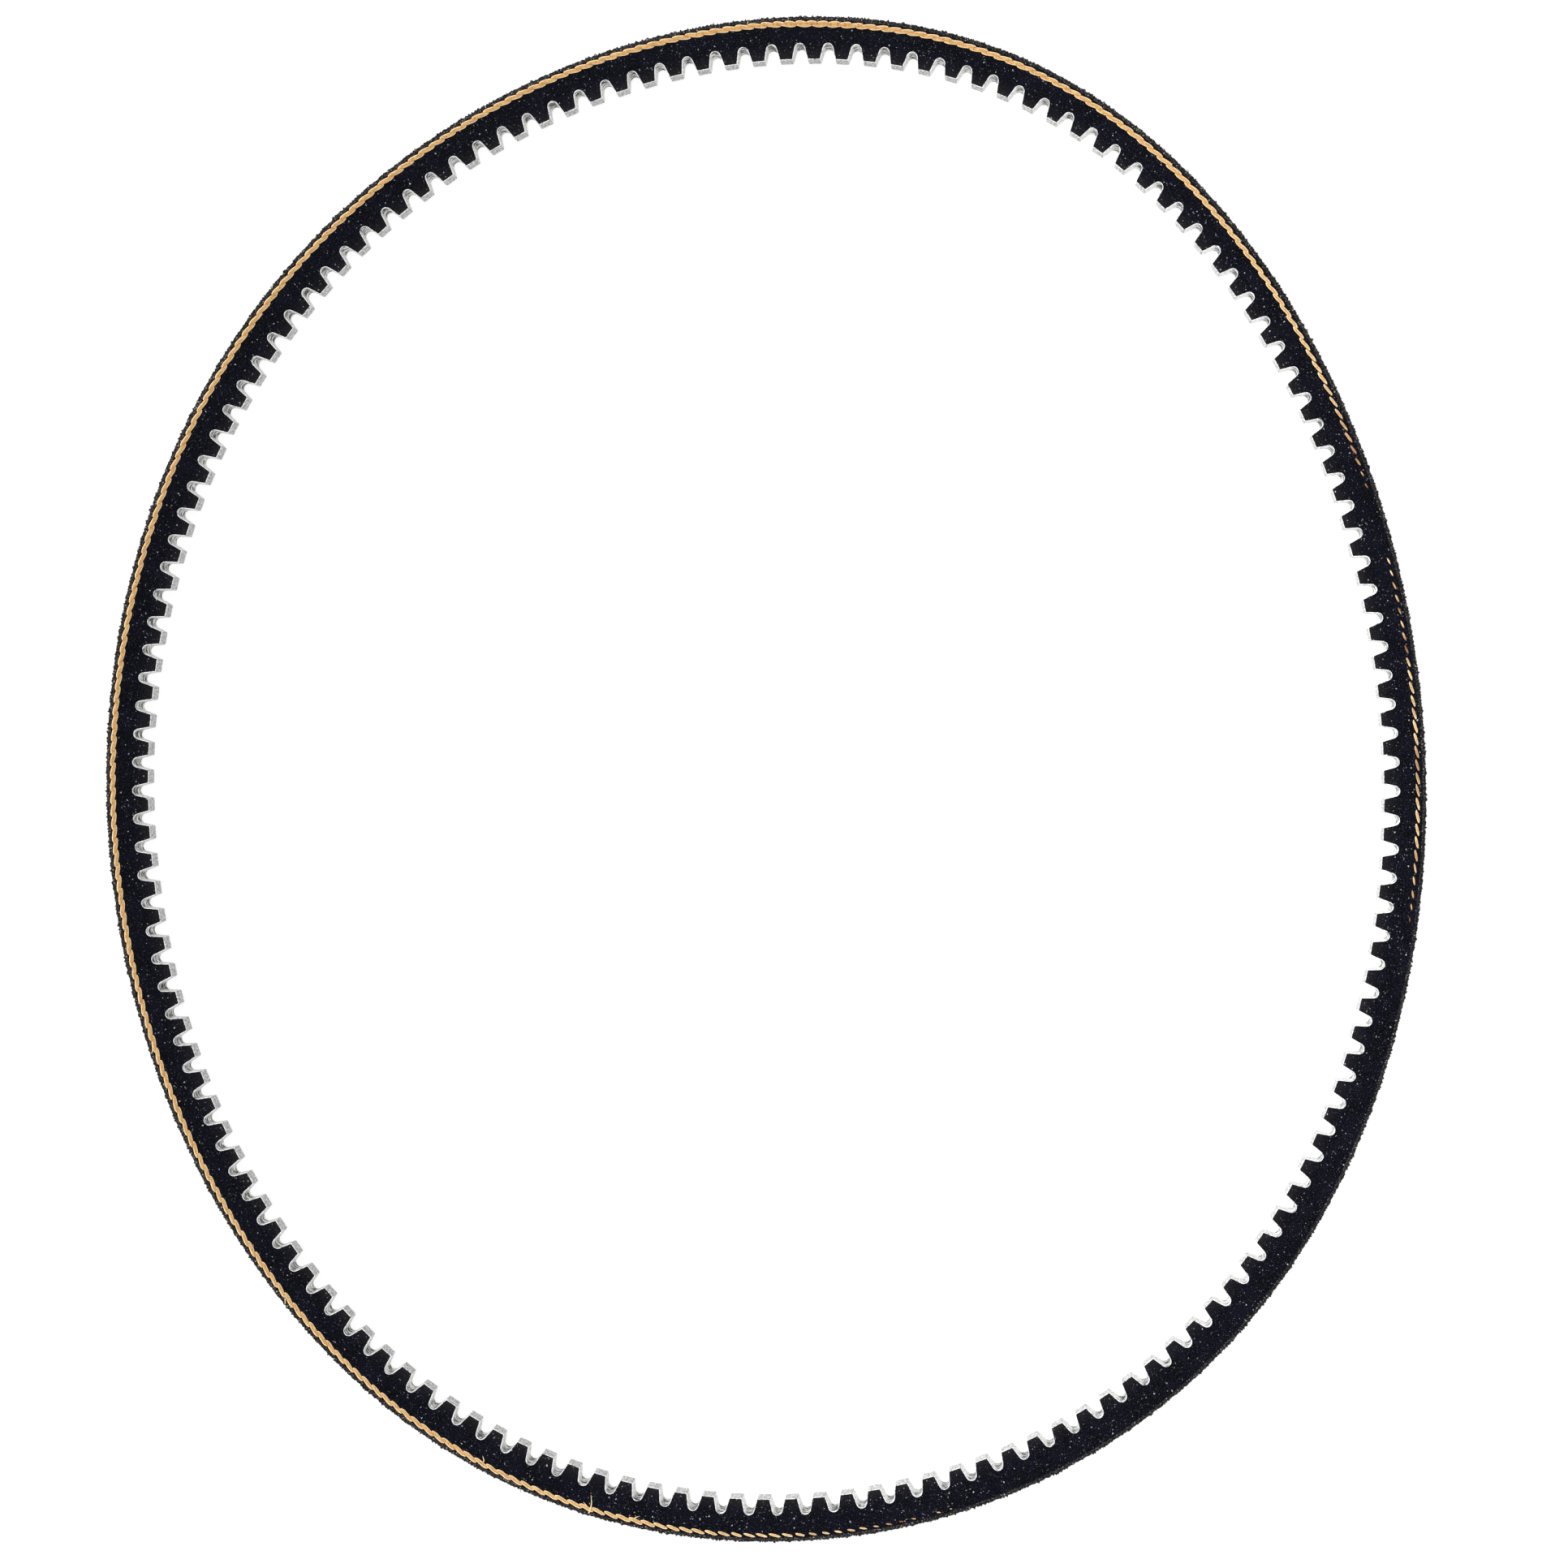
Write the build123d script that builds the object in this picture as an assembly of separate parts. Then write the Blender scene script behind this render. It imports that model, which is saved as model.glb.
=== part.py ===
from build123d import *
import os
from math import atan2, cos, degrees, hypot, pi, radians, sin, tan

# A raw-edge cogged V-belt lying on its side in a relaxed, slightly egg-shaped loop.
# The origin is the centre of the loop's box, at half the belt's width. +Z runs across the belt,
# and "depth" is measured from the back of the belt inwards, through its thickness.
# The belt is five bonded plies. It is divided into rigid spans that bend on hinge lines
# in the plane of the cord, at the middle of a notch, where the belt is thinnest.

# ------------------------------------------------------------ driving dimensions (mm, degrees)
OUTSIDE_LENGTH = 900.0      # around the back of the belt
TOP_WIDTH = 10.0            # across the back
THICKNESS = 8.0             # from the back to the tips of the cogs
FLANK_ANGLE = 20.0          # each cut side leans in by this much towards the cogs

BACK_FABRIC = 0.67          # woven cover of the back, cut square at its edges
BED_THICKNESS = 1.4         # soft rubber around the cord
FACING = 0.15               # knitted cover of the cogs
BOND_LINE = 0.05            # cement between two plies

CORD_DIAMETER = 1.2
CORD_TURNS = 8              # turns of the cord round the loop; the outer two are partly cut away
CORD_RISE = 1.5             # one turn of the cord climbs this far across the belt, anticlockwise
CORD_TOP_HEIGHT = 4.40      # height of the uppermost turn's axis at the top of the loop
CUT_AWAY_OVERHANG = 0.45    # a turn is gone from a span where its axis would lie this far outside the flank

COG_COUNT = 151
NOTCH_DEPTH = 3.0
NOTCH_ROOT_RADIUS = 1.0
NOTCH_WALL_ANGLE = 14.0     # lean of a notch's wall
COG_CORNER_RADIUS = 0.25
FIRST_NOTCH_LEAD = 1.4      # the first notch lies this far past the top of the loop

# The relaxed loop is a circle with a few gentle waves: (waves around, height, direction of a crest).
LOOP_WAVES = ((2, 10.10, 87.9), (3, 1.31, -53.3), (4, 1.08, -32.9))

SPAN_COGS = (9, 19, 19, 19, 19, 19, 19, 19, 9)   # cogs on each span, anticlockwise from the top
BEND_CLEARANCE = 8.5        # flare of a span's end about its hinge line
HINGE_GAP = 0.1             # between two spans on their hinge line
JUNCTION_GAP = 0.7          # between the first and the last span, where the loop is open

# ------------------------------------------------------------ derived dimensions
MEAN_REACH = OUTSIDE_LENGTH / (2 * pi)
BED_TOP = BACK_FABRIC + BOND_LINE
BED_BOTTOM = BED_TOP + BED_THICKNESS
CORD_DEPTH = (BED_TOP + BED_BOTTOM) / 2
COG_TOP = BED_BOTTOM + BOND_LINE
COG_TIP = THICKNESS - FACING - BOND_LINE
NOTCH_CENTRE = THICKNESS - NOTCH_DEPTH + NOTCH_ROOT_RADIUS
COG_PITCH = 2 * pi * (MEAN_REACH - CORD_DEPTH) / COG_COUNT
OVERRUN = 3.0               # how far a blank or a cutter runs past the surface it makes


# ------------------------------------------------------------ the loop's shape
def reach(direction, depth=0.0):
    """Distance from the loop's centre to its tangent line that faces a direction."""
    waves = (size * cos(order * (direction - radians(crest))) for order, size, crest in LOOP_WAVES)
    return MEAN_REACH - depth + sum(waves)


def reach_slope(direction):
    """Change of the reach with direction, which shifts the point of contact sideways."""
    waves = (-order * size * sin(order * (direction - radians(crest))) for order, size, crest in LOOP_WAVES)
    return sum(waves)


def cord_length(direction):
    """Length along the cord up to the point that faces a direction."""
    waves = (size * (1 / order - order) * sin(order * (direction - radians(crest)))
             for order, size, crest in LOOP_WAVES)
    return (MEAN_REACH - CORD_DEPTH) * direction + sum(waves)


BOX_CENTRE_X = (reach(0) - reach(pi)) / 2
BOX_CENTRE_Y = (reach(pi / 2) - reach(-pi / 2)) / 2


def cord_point(direction):
    """Point on the cord's centre line that faces a direction."""
    outward = reach(direction, CORD_DEPTH)
    sideways = reach_slope(direction)
    x = outward * cos(direction) - sideways * sin(direction) - BOX_CENTRE_X
    y = outward * sin(direction) + sideways * cos(direction) - BOX_CENTRE_Y
    return Vector(x, y, 0)


def facing_direction(notch):
    """Direction that a notch faces; the notches are counted anticlockwise from the top."""
    wanted = cord_length(pi / 2) + FIRST_NOTCH_LEAD + notch * COG_PITCH
    low, high = 0.0, 3 * pi
    while high - low > 1e-9:
        middle = (low + high) / 2
        if cord_length(middle) < wanted:
            low = middle
        else:
            high = middle
    return low


# ------------------------------------------------------------ one span's arc
class SpanArc:
    """The circular arc on which a span lies: centre, cord radius and the angles of its two ends."""

    def __init__(self, first_notch, cogs):
        self.cogs = cogs
        self.middle_share = (first_notch + cogs / 2) / COG_COUNT
        self.start_facing = facing_direction(first_notch)
        self.end_facing = facing_direction(first_notch + cogs)
        self.start = cord_point(self.start_facing)
        self.end = cord_point(self.end_facing)
        middle = cord_point(facing_direction(first_notch + cogs / 2))
        arc = Edge.make_three_point_arc(self.start, middle, self.end)
        self.centre = arc.arc_center
        self.radius = arc.radius
        self.start_angle = self.angle_of(self.start)
        self.sweep = (self.angle_of(self.end) - self.start_angle) % 360

    def angle_of(self, point):
        return degrees(atan2(point.Y - self.centre.Y, point.X - self.centre.X))

    def notch_frames(self):
        """Frames on the cord line at every notch, with +X along the belt and +Y towards the inside."""
        frames = [on_cord(self.start, degrees(self.start_facing))]
        for notch in range(1, self.cogs):
            angle = self.start_angle + self.sweep * notch / self.cogs
            out = Vector(cos(radians(angle)), sin(radians(angle)), 0)
            frames.append(on_cord(self.centre + out * self.radius, angle))
        frames.append(on_cord(self.end, degrees(self.end_facing)))
        return frames


def on_cord(point, outward_angle):
    """Frame at a point of the cord line, with +Y towards the inside of the loop."""
    return Location((point.X, point.Y, 0), (0, 0, outward_angle + 90))


# ------------------------------------------------------------ flat shapes, in the plane of the loop
def ring_sector(arc, top, bottom):
    """The part of a span between two depths, run on past both of its ends."""
    extra = degrees(OVERRUN / arc.radius)
    outer = CenterArc(arc.centre, arc.radius + CORD_DEPTH - top, arc.start_angle - extra, arc.sweep + 2 * extra)
    inner = CenterArc(arc.centre, arc.radius + CORD_DEPTH - bottom, arc.start_angle - extra, arc.sweep + 2 * extra)
    return make_face([outer, inner, Line(outer @ 0, inner @ 0), Line(outer @ 1, inner @ 1)])


def notch_shape(widening=0.0):
    """A round-rooted notch about the cord line, made wider by the same amount all round."""
    radius = NOTCH_ROOT_RADIUS + widening
    lean = radians(NOTCH_WALL_ANGLE)
    centre = NOTCH_CENTRE - CORD_DEPTH
    mouth = THICKNESS - CORD_DEPTH + OVERRUN
    tangent = (radius * cos(lean), centre - radius * sin(lean))
    half_mouth = tangent[0] + (mouth - tangent[1]) * tan(lean)
    root = ThreePointArc((-tangent[0], tangent[1]), (0, centre - radius), tangent)
    walls = Polyline(tangent, (half_mouth, mouth), (-half_mouth, mouth), (-tangent[0], tangent[1]))
    return make_face([root, walls])


def end_cut(gap, flare):
    """Everything beyond a span's end, whose two sides lean away from the hinge line on the cord."""
    back = CORD_DEPTH + OVERRUN
    tips = THICKNESS - CORD_DEPTH + OVERRUN
    lean = tan(radians(flare))
    far = 3 * OVERRUN
    return make_face(Polyline(
        (-gap / 2, 0), (-gap / 2 - tips * lean, tips), (far, tips),
        (far, -back), (-gap / 2 - back * lean, -back), (-gap / 2, 0)))


def span_ends(arc, is_first, is_last):
    """The two cuts that end a span. At the open junction the cut is straight and wider."""
    hinge = end_cut(HINGE_GAP, BEND_CLEARANCE)
    junction = end_cut(JUNCTION_GAP, 0)
    frames = arc.notch_frames()
    start = frames[0] * Rot(0, 0, 180) * mirror(junction if is_first else hinge, Plane.XZ)
    end = frames[-1] * (junction if is_last else hinge)
    return [start, end]


def round_tips(plan, arc):
    """Rounds the corners of the cogs."""
    tip_radius = arc.radius + CORD_DEPTH - THICKNESS
    reach_of = {corner: hypot(corner.X - arc.centre.X, corner.Y - arc.centre.Y) for corner in plan.vertices()}
    corners = [corner for corner, distance in reach_of.items() if abs(distance - tip_radius) < 0.01]
    return fillet(corners, COG_CORNER_RADIUS)


# ------------------------------------------------------------ solids
def half_width(depth):
    """Half the belt's width at a depth. The back fabric is square, and the flanks lean below it."""
    return TOP_WIDTH / 2 - max(0.0, depth - BACK_FABRIC) * tan(radians(FLANK_ANGLE))


def belt_section(arc):
    """The full section of the belt, as far from the Y axis as the span is from its centre."""
    back = arc.radius + CORD_DEPTH
    return make_face(Polyline(
        (back + OVERRUN, half_width(0)), (back - BACK_FABRIC, half_width(0)),
        (back - THICKNESS - OVERRUN, half_width(THICKNESS + OVERRUN)),
        (back - THICKNESS - OVERRUN, -half_width(THICKNESS + OVERRUN)),
        (back - BACK_FABRIC, -half_width(0)), (back + OVERRUN, -half_width(0)),
        (back + OVERRUN, half_width(0))))


def turned(section, arc, overrun):
    """A section turned about the span's centre and run on past its ends, or stopped short by a negative overrun."""
    extra = degrees(overrun / arc.radius)
    upright = Location(arc.centre) * Rot(0, 0, arc.start_angle - extra) * Rot(90, 0, 0) * section
    return revolve(upright, Axis(arc.centre, (0, 0, 1)), arc.sweep + 2 * extra)


def ply(plan, blank):
    """One ply: its outline in the plane of the loop, trimmed to the belt's flanks."""
    return extrude(plan, TOP_WIDTH, both=True) & blank


def cord_sections(arc, diameter):
    """A round section for every turn of the cord that the span holds.

    The cord climbs across the belt as it winds round the loop. Along one span it keeps one height.
    """
    furthest = half_width(CORD_DEPTH) + CUT_AWAY_OVERHANG
    sections = []
    for turn in range(CORD_TURNS):
        height = CORD_TOP_HEIGHT + CORD_RISE * (arc.middle_share - turn)
        if abs(height) < furthest:
            sections.append(Pos(arc.radius, height) * Circle(diameter / 2))
    return sections


def back_fabric(arc, ends, blank):
    return ply(ring_sector(arc, 0, BACK_FABRIC) - ends, blank)


def cord_bed(arc, ends, blank):
    """The soft rubber between the fabric and the cogs, with a channel for each turn of the cord."""
    bed = ply(ring_sector(arc, BED_TOP, BED_BOTTOM) - ends, blank)
    sections = cord_sections(arc, CORD_DIAMETER + BOND_LINE)
    return bed - [turned(section, arc, OVERRUN) for section in sections]


def tension_cord(arc, is_end_span):
    """The turns of the cord, cut open where they meet a flank.

    They stop a little short of the span's ends, so that they clear their neighbours when the belt bends.
    """
    gap = JUNCTION_GAP if is_end_span else HINGE_GAP
    clearance = gap / 2 + CORD_DIAMETER / 2 * tan(radians(BEND_CLEARANCE))
    trimmed = [section & belt_section(arc) for section in cord_sections(arc, CORD_DIAMETER)]
    return Compound(children=[turned(section, arc, -clearance) for section in trimmed])


def cog_rubber(arc, ends, blank):
    notches = [frame * notch_shape(FACING + BOND_LINE) for frame in arc.notch_frames()]
    return ply(ring_sector(arc, COG_TOP, COG_TIP) - notches - ends, blank)


def cog_facing(arc, ends, blank):
    """The thin cover that follows the cogs and notches in one wavy strip."""
    frames = arc.notch_frames()
    outside = ring_sector(arc, NOTCH_CENTRE - NOTCH_ROOT_RADIUS - FACING, THICKNESS)
    outside = round_tips(outside - [frame * notch_shape() for frame in frames] - ends, arc)
    inside = ring_sector(arc, 0, THICKNESS - FACING) - [frame * notch_shape(FACING) for frame in frames]
    return ply(outside - inside, blank)


# ------------------------------------------------------------ the whole belt
def build_belt():
    os.makedirs("parts", exist_ok=True)
    first_notch = 0
    for number, cogs in enumerate(SPAN_COGS, start=1):
        is_first = number == 1
        is_last = number == len(SPAN_COGS)
        arc = SpanArc(first_notch, cogs)
        ends = span_ends(arc, is_first, is_last)
        blank = turned(belt_section(arc), arc, OVERRUN)
        plies = {
            "back_fabric": back_fabric(arc, ends, blank),
            "cord_bed": cord_bed(arc, ends, blank),
            "tension_cord": tension_cord(arc, is_first or is_last),
            "cog_rubber": cog_rubber(arc, ends, blank),
            "cog_facing": cog_facing(arc, ends, blank),
        }
        for name, shape in plies.items():
            export_step(shape, f"parts/{name}_{number}.step")
        first_notch += cogs


build_belt()
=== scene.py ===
from math import cos, pi, radians, sin, tan

import bpy
import numpy as np
from mathutils import Matrix, Vector


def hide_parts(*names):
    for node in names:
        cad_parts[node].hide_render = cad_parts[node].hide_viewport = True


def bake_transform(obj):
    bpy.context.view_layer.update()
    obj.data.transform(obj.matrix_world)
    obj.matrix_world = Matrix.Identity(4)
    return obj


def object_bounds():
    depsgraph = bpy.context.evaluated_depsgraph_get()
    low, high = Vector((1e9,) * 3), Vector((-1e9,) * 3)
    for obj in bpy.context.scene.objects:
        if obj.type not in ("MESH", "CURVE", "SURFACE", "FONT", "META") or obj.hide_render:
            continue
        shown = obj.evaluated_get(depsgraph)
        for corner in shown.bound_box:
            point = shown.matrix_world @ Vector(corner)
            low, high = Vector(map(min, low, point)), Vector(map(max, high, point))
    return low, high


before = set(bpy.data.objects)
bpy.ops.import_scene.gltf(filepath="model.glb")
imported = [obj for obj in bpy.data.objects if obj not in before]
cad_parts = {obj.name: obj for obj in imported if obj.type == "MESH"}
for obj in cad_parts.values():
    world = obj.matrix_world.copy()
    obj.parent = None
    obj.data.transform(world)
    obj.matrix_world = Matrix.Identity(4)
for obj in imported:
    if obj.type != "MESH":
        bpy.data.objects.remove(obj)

# The looks of a raw-edge cogged V-belt. Lengths in this script are in millimetres, and each mesh is
# scaled to metres as it is made. "along" is the length along the cord from the first notch, "depth" is
# measured from the back of the belt inwards, and "height" is Z, across the belt.

CAD_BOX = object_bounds()
MILLIMETRE = 0.001          # in Blender's metres

# ---------------------------------------- the belt's sizes
OUTSIDE_LENGTH = 900.0
HALF_WIDTH = 5.0            # of the back
THICKNESS = 8.0
FLANK_LEAN = radians(20.0)
BACK_FABRIC = 0.70
CORD_DEPTH = 1.40
CORD_RADIUS = 0.66
BED_BOTTOM = 2.14
FACING = 0.10
COG_COUNT = 151
NOTCH_DEPTH = 3.0
ROOT_RADIUS = 1.0
WALL_LEAN = radians(14.0)
CORNER_RADIUS = 0.25
FIRST_NOTCH_LEAD = 1.4      # the first notch lies this far past the top of the loop
THREAD_PITCH = 0.9          # of the back's weave
THREAD_TURN = 38            # degrees between its threads and the belt's length

# The relaxed loop is a circle with a few gentle waves: (waves around, height, direction of a crest).
LOOP_WAVES = ((2, 10.10, radians(87.9)), (3, 1.31, radians(-53.3)), (4, 1.08, radians(-32.9)))

# Each length of belt crosses one hinge: it runs from the middle of one span to the middle of the next.
SEAMS = (0, 18.5, 37.5, 56.5, 75.5, 94.5, 113.5, 132.5, 151)   # counted in notches from the open junction
LENGTHS = len(SEAMS) - 1
BLEND_MARGIN = 4.0          # join_belt works out a point this far inside each end of a length, and leaves it unused

MEAN_REACH = OUTSIDE_LENGTH / (2 * pi)
CORD_LOOP = 2 * pi * (MEAN_REACH - CORD_DEPTH)
PITCH = CORD_LOOP / COG_COUNT


# ---------------------------------------- the loop's shape
def reach(direction):
    """Distance from the loop's centre to the tangent line of the back that faces a direction."""
    return MEAN_REACH + sum(size * np.cos(order * (direction - crest)) for order, size, crest in LOOP_WAVES)


def reach_slope(direction):
    """Change of the reach with direction, which shifts the point of contact sideways."""
    return sum(-order * size * np.sin(order * (direction - crest)) for order, size, crest in LOOP_WAVES)


def bend_radius(direction):
    """Radius of the cord's curve."""
    waves = sum((1 - order ** 2) * size * np.cos(order * (direction - crest))
                for order, size, crest in LOOP_WAVES)
    return MEAN_REACH - CORD_DEPTH + waves


def cord_length(direction):
    """Length along the cord up to the point that faces a direction."""
    waves = sum(size * (1 / order - order) * np.sin(order * (direction - crest))
                for order, size, crest in LOOP_WAVES)
    return (MEAN_REACH - CORD_DEPTH) * direction + waves


# The frame's origin is the middle of the loop's box. The directions run from before the loop's top to past
# the end of one trip round it.
BOX_CENTRE = ((reach(0) - reach(pi)) / 2, (reach(pi / 2) - reach(-pi / 2)) / 2)
DIRECTIONS = np.linspace(0, 3.2 * pi, 20001)
ALONGS = cord_length(DIRECTIONS) - cord_length(pi / 2) - FIRST_NOTCH_LEAD


def direction_at(along):
    """The direction that a place along the belt faces, read from the table of directions."""
    return np.interp(along, ALONGS, DIRECTIONS)


def belt_points(along, depth, height):
    """Points of the belt in the frame's axes, in millimetres."""
    along, depth, height = np.broadcast_arrays(along, depth, height)
    direction = direction_at(along)
    outward = reach(direction) - depth
    sideways = reach_slope(direction)
    x = outward * np.cos(direction) - sideways * np.sin(direction) - BOX_CENTRE[0]
    y = outward * np.sin(direction) + sideways * np.cos(direction) - BOX_CENTRE[1]
    return np.stack([x, y, height], axis=-1)


def half_width(depth):
    """Half the belt's width at a depth: square through the back fabric, leaning in below it."""
    return HALF_WIDTH - np.maximum(0.0, depth - BACK_FABRIC) * tan(FLANK_LEAN)


# ---------------------------------------- the outline of the cogs
def half_notch(offset, root_steps=7, wall_steps=4, corner_steps=4):
    """Half of a notch's outline, from its root to a cog's tip, offset into the rubber.

    Each row is a distance across from the notch's middle, and a depth.
    """
    radius = ROOT_RADIUS + offset
    centre = THICKNESS - NOTCH_DEPTH + ROOT_RADIUS
    tip = THICKNESS - offset
    angle = np.linspace(pi / 2, WALL_LEAN, root_steps)
    root = np.stack([radius * np.cos(angle), centre - radius * np.sin(angle)], axis=1)
    mouth = root[-1, 0] + (tip - root[-1, 1]) * tan(WALL_LEAN)
    corner = CORNER_RADIUS - offset
    set_back = corner * tan((pi / 2 - WALL_LEAN) / 2)
    corner_centre = np.array([mouth + set_back, tip - corner])
    angle = np.linspace(pi - WALL_LEAN, pi / 2, corner_steps)
    rounding = corner_centre + corner * np.stack([np.cos(angle), np.sin(angle)], axis=1)
    share = np.linspace(0, 1, wall_steps + 1)[1:-1, None]
    wall = root[-1] * (1 - share) + rounding[0] * share
    return np.concatenate([root, wall, rounding])


def cog_outline(first, last, offset, tip_steps=4):
    """The outline of the cogs between two seams, as positions along the belt and depths."""
    half = half_notch(offset)
    tip_depth = THICKNESS - offset
    depth = np.concatenate([half[:, 1], np.full(tip_steps, tip_depth)])
    alongs, depths = [], []
    for notch in range(int(np.ceil(first)), int(np.floor(last)) + 1):
        here = notch * PITCH
        stretch = 1 / (1 - (half[:, 1] - CORD_DEPTH) / bend_radius(direction_at(here)))
        across = half[:, 0] * stretch
        across = np.concatenate([across, np.linspace(across[-1], PITCH / 2, tip_steps + 1)[1:]])
        if notch > first:
            alongs.extend(here - across[:0:-1])
            depths.extend(depth[:0:-1])
        if notch < last:
            alongs.extend(here + across[:-1])
            depths.extend(depth[:-1])
    ends_on_tip = last % 1 > 0
    alongs.append(last * PITCH)
    depths.append(tip_depth if ends_on_tip else half[0, 1])
    return np.array(alongs), np.array(depths)


# ---------------------------------------- mesh helpers
def add_piece(name, points, faces, material):
    """A mesh object from points in millimetres."""
    mesh = bpy.data.meshes.new(name)
    mesh.from_pydata(points * MILLIMETRE, [], faces)
    mesh.materials.append(material)
    piece = bpy.data.objects.new(name, mesh)
    bpy.context.collection.objects.link(piece)
    return piece


def smooth(piece, sharp_degrees):
    """Shades a piece smooth, apart from its edges that are sharper than an angle."""
    piece.data.shade_smooth()
    piece.data.set_sharp_from_angle(angle=radians(sharp_degrees))


def tube_faces(stations, around, start=0):
    """Faces of a tube of rings, closed by a cap at each end."""
    step = np.arange(stations - 1)[:, None] * around
    here = np.arange(around)[None, :]
    following = (here + 1) % around
    beyond = step + around
    quads = np.stack([step + here, step + following, beyond + following, beyond + here], axis=-1)
    quads = quads.reshape(-1, 4) + start
    caps = [list(range(start + around - 1, start - 1, -1)),
            list(range(start + (stations - 1) * around, start + stations * around))]
    return quads.tolist() + caps


def set_uv(piece, per_vertex):
    """Stores lengths in millimetres as the UV map, from one pair a vertex."""
    layer = piece.data.uv_layers.new(name="lengths")
    corners = np.empty(len(piece.data.loops), dtype=np.int32)
    piece.data.loops.foreach_get("vertex_index", corners)
    layer.data.foreach_set("uv", per_vertex[corners].astype(np.float32).ravel())


def set_level(piece, name, values):
    """Stores one number a vertex, which the piece's material reads by its name."""
    attribute = piece.data.attributes.new(name, "FLOAT", "POINT")
    attribute.data.foreach_set("value", np.asarray(values, dtype=np.float32).ravel())


def skin(name, rings, uv, material, sharp_degrees=38):
    """A closed tube from rings of points, with a UV pair for each point."""
    stations, around = rings.shape[:2]
    piece = add_piece(name, rings.reshape(-1, 3), tube_faces(stations, around), material)
    set_uv(piece, uv.reshape(-1, 2))
    smooth(piece, sharp_degrees)
    return piece


class Bundle:
    """Tubes that are gathered into one piece, with UV pairs and levels."""

    def __init__(self, *level_names):
        self.points, self.faces, self.uv = [], [], []
        self.levels = {name: [] for name in level_names}
        self.count = 0

    def add(self, rings, uv=None, **levels):
        """Adds one tube. A level is one number for all of it, or an array that spreads over its rings."""
        stations, around = rings.shape[:2]
        self.faces.extend(tube_faces(stations, around, self.count))
        self.points.append(rings.reshape(-1, 3))
        self.count += stations * around
        if uv is not None:
            self.uv.append(uv.reshape(-1, 2))
        for name, values in levels.items():
            self.levels[name].append(np.broadcast_to(values, (stations, around)).ravel())

    def make(self, name, material, sharp_degrees):
        piece = add_piece(name, np.concatenate(self.points), self.faces, material)
        if self.uv:
            set_uv(piece, np.concatenate(self.uv))
        for level, values in self.levels.items():
            set_level(piece, level, np.concatenate(values))
        smooth(piece, sharp_degrees)
        return piece


def join_belt(piece, length, ply=None):
    """Hides the CAD ply that a piece stands for, if one is given, and bakes the piece's placement into its
    mesh.

    A length stands for the ply of the span where it starts, and the last one for the span where it ends too.
    """
    if ply:
        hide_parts(f"{ply}_{length + 1}")
        if length == LENGTHS - 1:
            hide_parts(f"{ply}_{length + 2}")
    first = belt_points(SEAMS[length] * PITCH + BLEND_MARGIN, CORD_DEPTH, 0.0) * MILLIMETRE
    last = belt_points(SEAMS[length + 1] * PITCH - BLEND_MARGIN, CORD_DEPTH, 0.0) * MILLIMETRE
    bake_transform(piece)


# ---------------------------------------- fields that run on across every seam
def loop_noise(seed, cells, rows=1):
    """Random values on an even grid round the loop, which meet where the loop closes."""
    values = np.random.default_rng(seed).random((cells, rows))
    return np.concatenate([values, values[:1]])


def read_noise(field, along):
    """Reads the first row of a loop_noise field between its cells."""
    cells = len(field) - 1
    place = (np.asarray(along) / CORD_LOOP * cells) % cells
    return np.interp(place, np.arange(cells + 1), field[:, 0])


def fade(value, start, over):
    """0 up to a start, and rising from there to 1 over a stretch."""
    return np.clip((value - start) / over, 0, 1)


def cells_of(length, cells_per_notch):
    """The cells of a ply on one length of belt, counted round the loop, and where along the belt they are."""
    first, last = (round(seam * cells_per_notch) for seam in SEAMS[length:length + 2])
    cells = np.arange(first, last + 1)
    return cells, cells / (COG_COUNT * cells_per_notch) * CORD_LOOP


# ---------------------------------------- the winding of the cord
# The cord climbs across the belt as it winds round it. So on the upper side its outermost turn rises out
# of the rubber, is cut in half, and is cut away altogether, all in one trip round the loop. Each pair is a
# length along the last trip, and how far the cut flank is outside the cord's axis there, square to the flank.
CORD_COVER = ((-934, 1.77), (-252, 0.72), (-243, 0.64), (-231, 0.54), (-200, 0.53), (-188, 0.61),
              (-171, 0.64), (-167, 0.72), (-160, 0.72), (-157, 0.65), (-150, 0.60), (-142, 0.53),
              (-130, 0.46), (-110, 0.40), (-90, 0.37), (-50, 0.34), (-12, 0.31), (6, -0.31),
              (50, -0.34), (200, -0.36), (330, -0.37), (400, -0.39), (430, -0.45), (448, -0.52),
              (465, -0.58), (484, -0.63), (500, -0.75))
COVER_UNEVENNESS = 0.05
CORD_WANDER = loop_noise(51, 300)
CORD_TURNS = 8
UPPER_TURNS = (0, 1)        # the outermost turns, which the flank cuts into, from the outside inwards
LOWER_TURNS = (CORD_TURNS - 1, CORD_TURNS - 2)
CORD_RISE = 1.5             # height climbed in one turn round the loop
CORD_TOP_HEIGHT = 4.55      # height of the uppermost turn's axis at the first notch
UPPER_TURN_END = 495.0      # along the belt, where the uppermost turn has been cut away
LOWER_TURN_START = 846.0    # the lower side repeats the upper one's pattern, backwards from here


def cord_cover(along, turn):
    """How far the nearer cut flank is outside one turn's axis."""
    if turn in UPPER_TURNS:
        trip = along - turn * CORD_LOOP
    else:
        trip = LOWER_TURN_START - along + (turn - CORD_TURNS + 1) * CORD_LOOP
    trips, covers = zip(*CORD_COVER)
    unevenness = (read_noise(CORD_WANDER, along) - 0.5) * COVER_UNEVENNESS
    return np.interp(trip, trips, covers) + unevenness


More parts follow.
